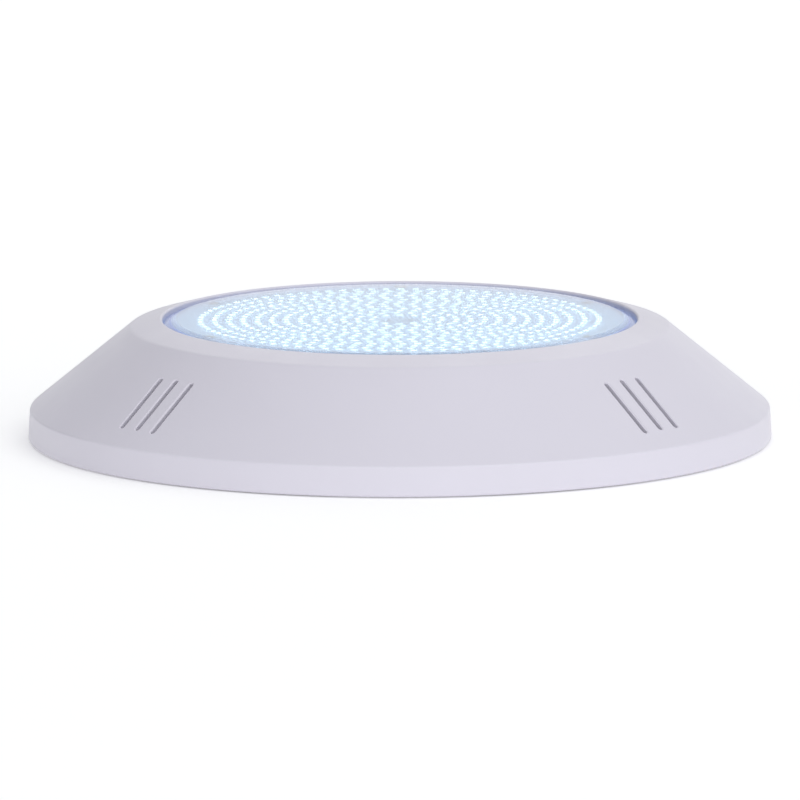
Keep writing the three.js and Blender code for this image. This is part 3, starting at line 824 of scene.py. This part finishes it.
# ---- wall bracket ----
def wall_bracket():
    plate, wall, height, outer, rib_top = 3, 3, 8.6, 128, 6
    hub_inner, hub_outer, hub_top = 32, 35, 9
    pan = lathe(
        "pan",
        [
            (hub_inner, 0, 0.5),
            (outer, 0, 0.5),
            (outer, height, 0.6),
            (outer - wall, height, 0.6),
            (outer - wall, plate, 1.2),
            (hub_outer, plate, 1.2),
            (hub_outer, hub_top, 0.6),
            (hub_inner, hub_top, 0.6),
        ],
    )
    rib = prism("rib", rectangle(92, 2.4, 0.3), plate / 2, rib_top)
    ribs = ring_of(rib, 80, spread(8, 22.5))
    root, reach = outer - wall / 2, radius_of("wall_bracket")
    locked, free = -BAYONET["tab"] - 0.3, BAYONET["tab"] + BAYONET["twist"] + 1
    lug = prism("lug", sector(root, reach, -BAYONET["lug"], BAYONET["lug"]), rib_top, height)
    stop_span = (2.3, height - 0.01)
    stops = [
        prism("stop", sector(root, reach, locked - 3, locked), *stop_span),
        prism("stop", sector(root, reach - 2, free, free + 3), *stop_span),
    ]
    claw = add(lug, *stops)
    add(pan, ribs, ring_of(claw, 0, spread(4)))
    slot, rebate_top, screw_circle = stadium(14, 6), stadium(16.4, 8.4), 85
    screw_hole = turned(prism("hole", slot, -1, plate + 1), 90)
    rebate = turned(prism("rebate", slot, plate - 0.6, plate + 0.6, rebate_top), 90)
    cut(pan, ring_of(screw_hole, screw_circle, spread(4)), ring_of(rebate, screw_circle, spread(4)))
    finish(pan, "wall_bracket", BRACKET_PLASTIC, "bracket")


# ---- cable gland ----
def hexagon(flats, bottom, top, chamfer=0.8):
    """A hexagon with turned corners, as a spanner nut has."""
    corner = flats / math.sqrt(3)
    angles = [math.radians(30 + 60 * i) for i in range(6)]
    points = [(corner * math.cos(angle), corner * math.sin(angle)) for angle in angles]
    outer = corner + 0.2
    face = outer - chamfer * 1.6
    profile = [(0, bottom), (face, bottom), (outer, bottom + chamfer)]
    profile += [(outer, top - chamfer), (face, top), (0, top)]
    blank = lathe("blank", profile, SMALL)
    return boolean(blank, prism("hex", points, bottom - 1, top + 1), "INTERSECT")


def gland():
    pitch, spanner_flats, thread_hole = 1.5, 22, 8.1
    low, high = heights("gland_body")
    flange_low, flange_high, overlap = 14.8, 18.3, 0.3
    nut_thread = thread(7.0, 0.45, pitch, low, flange_low + 0.4, SMALL)
    entry_thread = thread(7.8, 0.5, pitch, flange_high - overlap, high, SMALL)
    body = add(nut_thread, hexagon(spanner_flats, flange_low, flange_high), entry_thread)
    cut(body, hole(4, low - 1, high + 1, SMALL), hole(6, low - 1, 13, SMALL))
    finish(body, "gland_body", NYLON)

    low, high = heights("gland_o_ring")
    outer = radius_of("gland_o_ring")
    inner, turn = outer - 2.2, (high - low) / 2 * 0.9
    section = [(inner, low, turn), (outer, low, turn), (outer, high, turn), (inner, high, turn)]
    finish(lathe("o_ring", section, 96), "gland_o_ring", DARK_RUBBER)

    low, high = heights("gland_lock_nut")
    lock_nut = hexagon(spanner_flats, low, high)
    finish(cut(lock_nut, hole(thread_hole, low - 1, high + 1, SMALL)), "gland_lock_nut", NYLON)

    bore = 3.4
    low, high = heights("gland_seal")
    outer = radius_of("gland_seal")
    section = [(bore, low, 0.3), (outer, low, 0.5), (outer, high, 0.5), (bore, high, 0.3)]
    finish(lathe("seal", section, 64), "gland_seal", DARK_RUBBER)

    low, high = heights("gland_thrust_washer")
    outer = 6.7
    section = [(bore, low, 0.15), (outer, low, 0.15), (outer, high, 0.15), (bore, high, 0.15)]
    finish(lathe("washer", section, 64), "gland_thrust_washer", NYLON, "gland_washer")

    low, high = heights("gland_nut")
    cap = hexagon(20, low, high, 1.0)
    cut(cap, hole(4.2, low - 1, high, SMALL), hole(7.3, low + 1.2, high + 1, SMALL))
    finish(cap, "gland_nut", NYLON, "gland_cap")


# ---- driver and wiring ----
def keep(node, material, width=0.0):
    """A CAD node whose shape is right stays, with a finished material and softer edges."""
    obj = frame["nodes"][node]
    obj.data.materials.clear()
    obj.data.materials.append(material)
    if width:
        soften(obj, width)
    return obj


def gull_legs(node, count, span, leg_width, name):
    """Two rows of bent legs beside a chip, from its waist down to the board."""
    low, high = millimetres(node)
    centre, drop = (low + high) / 2, (high.z - low.z) / 2
    foot = heights("driver_board")[1] + 0.05
    legs = []
    for side in (-1, 1):
        edge = side * (high.y - low.y) / 2
        bends = ((0, drop), (0.4, drop), (0.7, 0.15), (1.3, 0.15))
        path = [(edge + side * out, height) for out, height in bends]
        for i in range(count):
            x = (i - (count - 1) / 2) * span
            spots = [(x, y, z) for y, z in path]
            pieces = [strip(start, end, leg_width, 0.18) for start, end in zip(spots, spots[1:])]
            legs.append(joined(pieces))
    return detail(moved(joined(legs), (centre.x, centre.y, foot)), name, TIN)


def strip(start, end, width, thickness):
    """A flat metal strip between two points, its width along X."""
    start, end = Vector(start), Vector(end)
    along = (end - start).normalized()
    up = Vector((1, 0, 0)).cross(along).normalized() * thickness / 2
    across = Vector((width / 2, 0, 0))
    corners = []
    for point in (start - along * thickness / 2, end + along * thickness / 2):
        corners += [point - across - up, point + across - up]
        corners += [point + across + up, point - across + up]
    faces = [(3, 2, 1, 0), (4, 5, 6, 7), (0, 1, 5, 4), (1, 2, 6, 5), (2, 3, 7, 6), (3, 0, 4, 7)]
    return make_object("strip", corners, faces)


def can_capacitor(node):
    low, high = millimetres(node)
    centre, radius, tall = (low + high) / 2, (high.x - low.x) / 2, high.z - low.z
    place = (centre.x, centre.y, low.z)
    bottom, dish = 0.8, tall - 0.15
    groove = [(radius, 1.8), (radius - 0.35, 2.1), (radius, 2.4)]
    rim = [(radius, tall, 0.7), (radius - 1.4, tall, 0.1), (radius - 1.5, dish, 0.05)]
    can = lathe("can", [(0, bottom), (radius, bottom, 0.3), *groove, *rim, (0, dish)], 72)
    side = 2 * radius * 0.97
    base = prism("base", rectangle(side, side, 1.2), 0, 0.9)
    for angle in (0, 60):
        cut(can, turned(prism("score", rectangle(radius * 1.1, 0.25), tall - 0.3, tall), angle))
    finish(moved(can, place), node, rolled_metal(node + "_can", (0.55, 0.56, 0.6), 0.35))
    detail(moved(base, place), node + "_base", CHIP)


def inductor():
    """A wound toroid: the core, and one wire passed round it many times."""
    low, high = millimetres("inductor")
    centre, outer, tall = (low + high) / 2, (high.x - low.x) / 2, high.z - low.z
    place = (centre.x, centre.y, low.z)
    inner, wire = 2.6, 0.4

    def section(inset, fillet):
        left, right, under, over = inner + inset, outer - inset, inset, tall - inset
        corners = ((left, under), (right, under), (right, over), (left, over))
        return [(*corner, fillet) for corner in corners]

    core = lathe("core", section(2 * wire, 0.5), 96)
    ferrite = moulded("ferrite", (0.05, 0.05, 0.055), 0.6)
    finish(moved(core, place), "inductor", ferrite)
    turns, steps = 22, 12
    loop = rounded(section(wire, 0.8))
    points = []
    for turn in range(turns):
        for i in range(steps):
            radius, height = loop[int(i * len(loop) / steps)]
            angle = math.radians(20 + 320 * (turn + i / steps) / turns)
            points.append((radius * math.cos(angle), radius * math.sin(angle), height))
    detail(moved(wire_along(points, wire), place), "inductor_winding", COPPER)


def wire_along(points, radius, sides=10):
    """A round wire through the points, closed at both ends."""
    path = [Vector(p) for p in points]
    verts, faces = [], []
    side = Vector((0, 0, 1))
    for i, point in enumerate(path):
        ahead = (path[min(i + 1, len(path) - 1)] - path[max(i - 1, 0)]).normalized()
        if abs(side.dot(ahead)) < 0.99:
            side = (side - ahead * side.dot(ahead)).normalized()
        else:
            side = ahead.orthogonal().normalized()
        other = ahead.cross(side)
        for k in range(sides):
            angle = 2 * math.pi * k / sides
            across = side * (radius * math.cos(angle)) + other * (radius * math.sin(angle))
            verts.append(point + across)
    for i in range(len(path) - 1):
        for k in range(sides):
            n, here, there = (k + 1) % sides, i * sides, (i + 1) * sides
            faces.append((here + k, here + n, there + n, there + k))
    faces.append(list(range(sides))[::-1])
    faces.append(list(range((len(path) - 1) * sides, len(path) * sides)))
    return make_object("wire", verts, faces)


def driver():
    keep("driver_board", BOARD_GREEN, 0.2)
    keep("bridge_rectifier", CHIP, 0.25)
    keep("regulator_chip", CHIP, 0.15)
    keep("terminal_block", TERMINAL_NYLON, 0.3)
    gull_legs("bridge_rectifier", 2, 5.0, 1.1, "rectifier_legs")
    gull_legs("regulator_chip", 4, 1.27, 0.42, "regulator_legs")
    can_capacitor("input_capacitor")
    can_capacitor("output_capacitor")
    inductor()
    for stem in ("supply_lead", "led_lead"):
        for node in numbered(stem):
            shade(keep(node, LEADS[slot_of(node)]), 60)


# ---- stage ----
def stage():
    reach, drop = 9000, -0.1  # just under the bracket's back face, so the two don't share a plane
    corners = [(x, y, drop) for x, y in rectangle(2 * reach, 2 * reach)]
    floor = make_object("floor", corners, [(0, 1, 2, 3)])
    bright = dict(Emission_Color=(1, 1, 1, 1), Emission_Strength=0.21)
    ground = Surface("pale_ground", (0.93, 0.93, 0.93), 0.9, **bright)
    ground.mottle(400, 0.005)
    floor.data.materials.append(ground.material)

    studio_world(0.2, ("X", -1, 1, 0.46), ("Y", 0.8, -1, 0.70), ("Y", 0.75, 0.95, 0.5))

    lamp_from("strip", (0.4, -3.0, 2.2), (4.5, 0.4), 10)
    lamp_from("side", (2.2, -3.0, 1.3), (2.2, 2.2), 6)
    lamp_from("rear", (0.3, 2.7, 2.6), (2.4, 2.4), 16)


def studio_world(base, *rises):
    """Soft light from all round. Each rise (axis, start, end, strength) adds some from one side."""
    world = bpy.data.worlds.new("studio")
    world.use_nodes = True
    nodes, links = world.node_tree.nodes, world.node_tree.links
    direction = nodes.new("ShaderNodeTexCoord")
    parts = nodes.new("ShaderNodeSeparateXYZ")
    links.new(direction.outputs["Generated"], parts.inputs["Vector"])
    total = nodes["Background"].inputs["Strength"]
    for axis, start, end, strength in rises:
        ramp = nodes.new("ShaderNodeMapRange")
        ramp.interpolation_type = "SMOOTHSTEP"
        ramp.inputs["From Min"].default_value = start
        ramp.inputs["From Max"].default_value = end
        ramp.inputs["To Max"].default_value = strength
        links.new(parts.outputs[axis], ramp.inputs["Value"])
        adding = nodes.new("ShaderNodeMath")
        links.new(ramp.outputs["Result"], adding.inputs[0])
        links.new(adding.outputs["Value"], total)
        total = adding.inputs[1]
    total.default_value = base
    nodes["Background"].inputs["Color"].default_value = (0.97, 0.98, 1.0, 1)
    bpy.context.scene.world = world


def lamp_from(name, place, size, power):
    """A soft rectangular lamp aimed at the object."""
    light = bpy.data.lights.new(name, "AREA")
    light.shape = "RECTANGLE"
    light.size, light.size_y = size
    light.energy = power
    obj = bpy.data.objects.new(name, light)
    obj.location = place
    obj.rotation_euler = (-Vector(place)).to_track_quat("-Z", "Y").to_euler()
    bpy.context.scene.collection.objects.link(obj)


def camera():
    """A long lens, six metres off and nine degrees up."""
    eye = Vector((0.030, -6.0, 0.983))
    pitch, yaw, roll = 0.160, -0.005, -0.002
    level = math.cos(pitch)
    ahead = Vector((math.sin(yaw) * level, math.cos(yaw) * level, -math.sin(pitch)))
    across = Vector((math.cos(yaw), -math.sin(yaw), 0))
    upright = across.cross(ahead)
    right = across * math.cos(roll) + upright * math.sin(roll)
    up = upright * math.cos(roll) - across * math.sin(roll)
    data = bpy.data.cameras.new("camera")
    data.sensor_width = 36
    data.lens = 701
    data.clip_end = 60
    obj = bpy.data.objects.new("camera", data)
    turn = Matrix((right, up, -ahead)).transposed().to_4x4()
    obj.matrix_world = Matrix.Translation(eye) @ turn
    bpy.context.scene.collection.objects.link(obj)
    bpy.context.scene.camera = obj


def colour_management():
    bpy.context.scene.view_settings.view_transform = "Standard"


face_ring()
lens()
lens_gasket()
clamp_ring()
led_board()
led_packages()
heat_sink_plate()
for stem in ("clamp_screw", "ring_screw"):
    screws(stem)
for stem in ("board_screw", "driver_screw", "terminal_screw"):
    screws(stem, flipped=True)
lamp_housing()
wall_bracket()
gland()
driver()
stage()
camera()
colour_management()
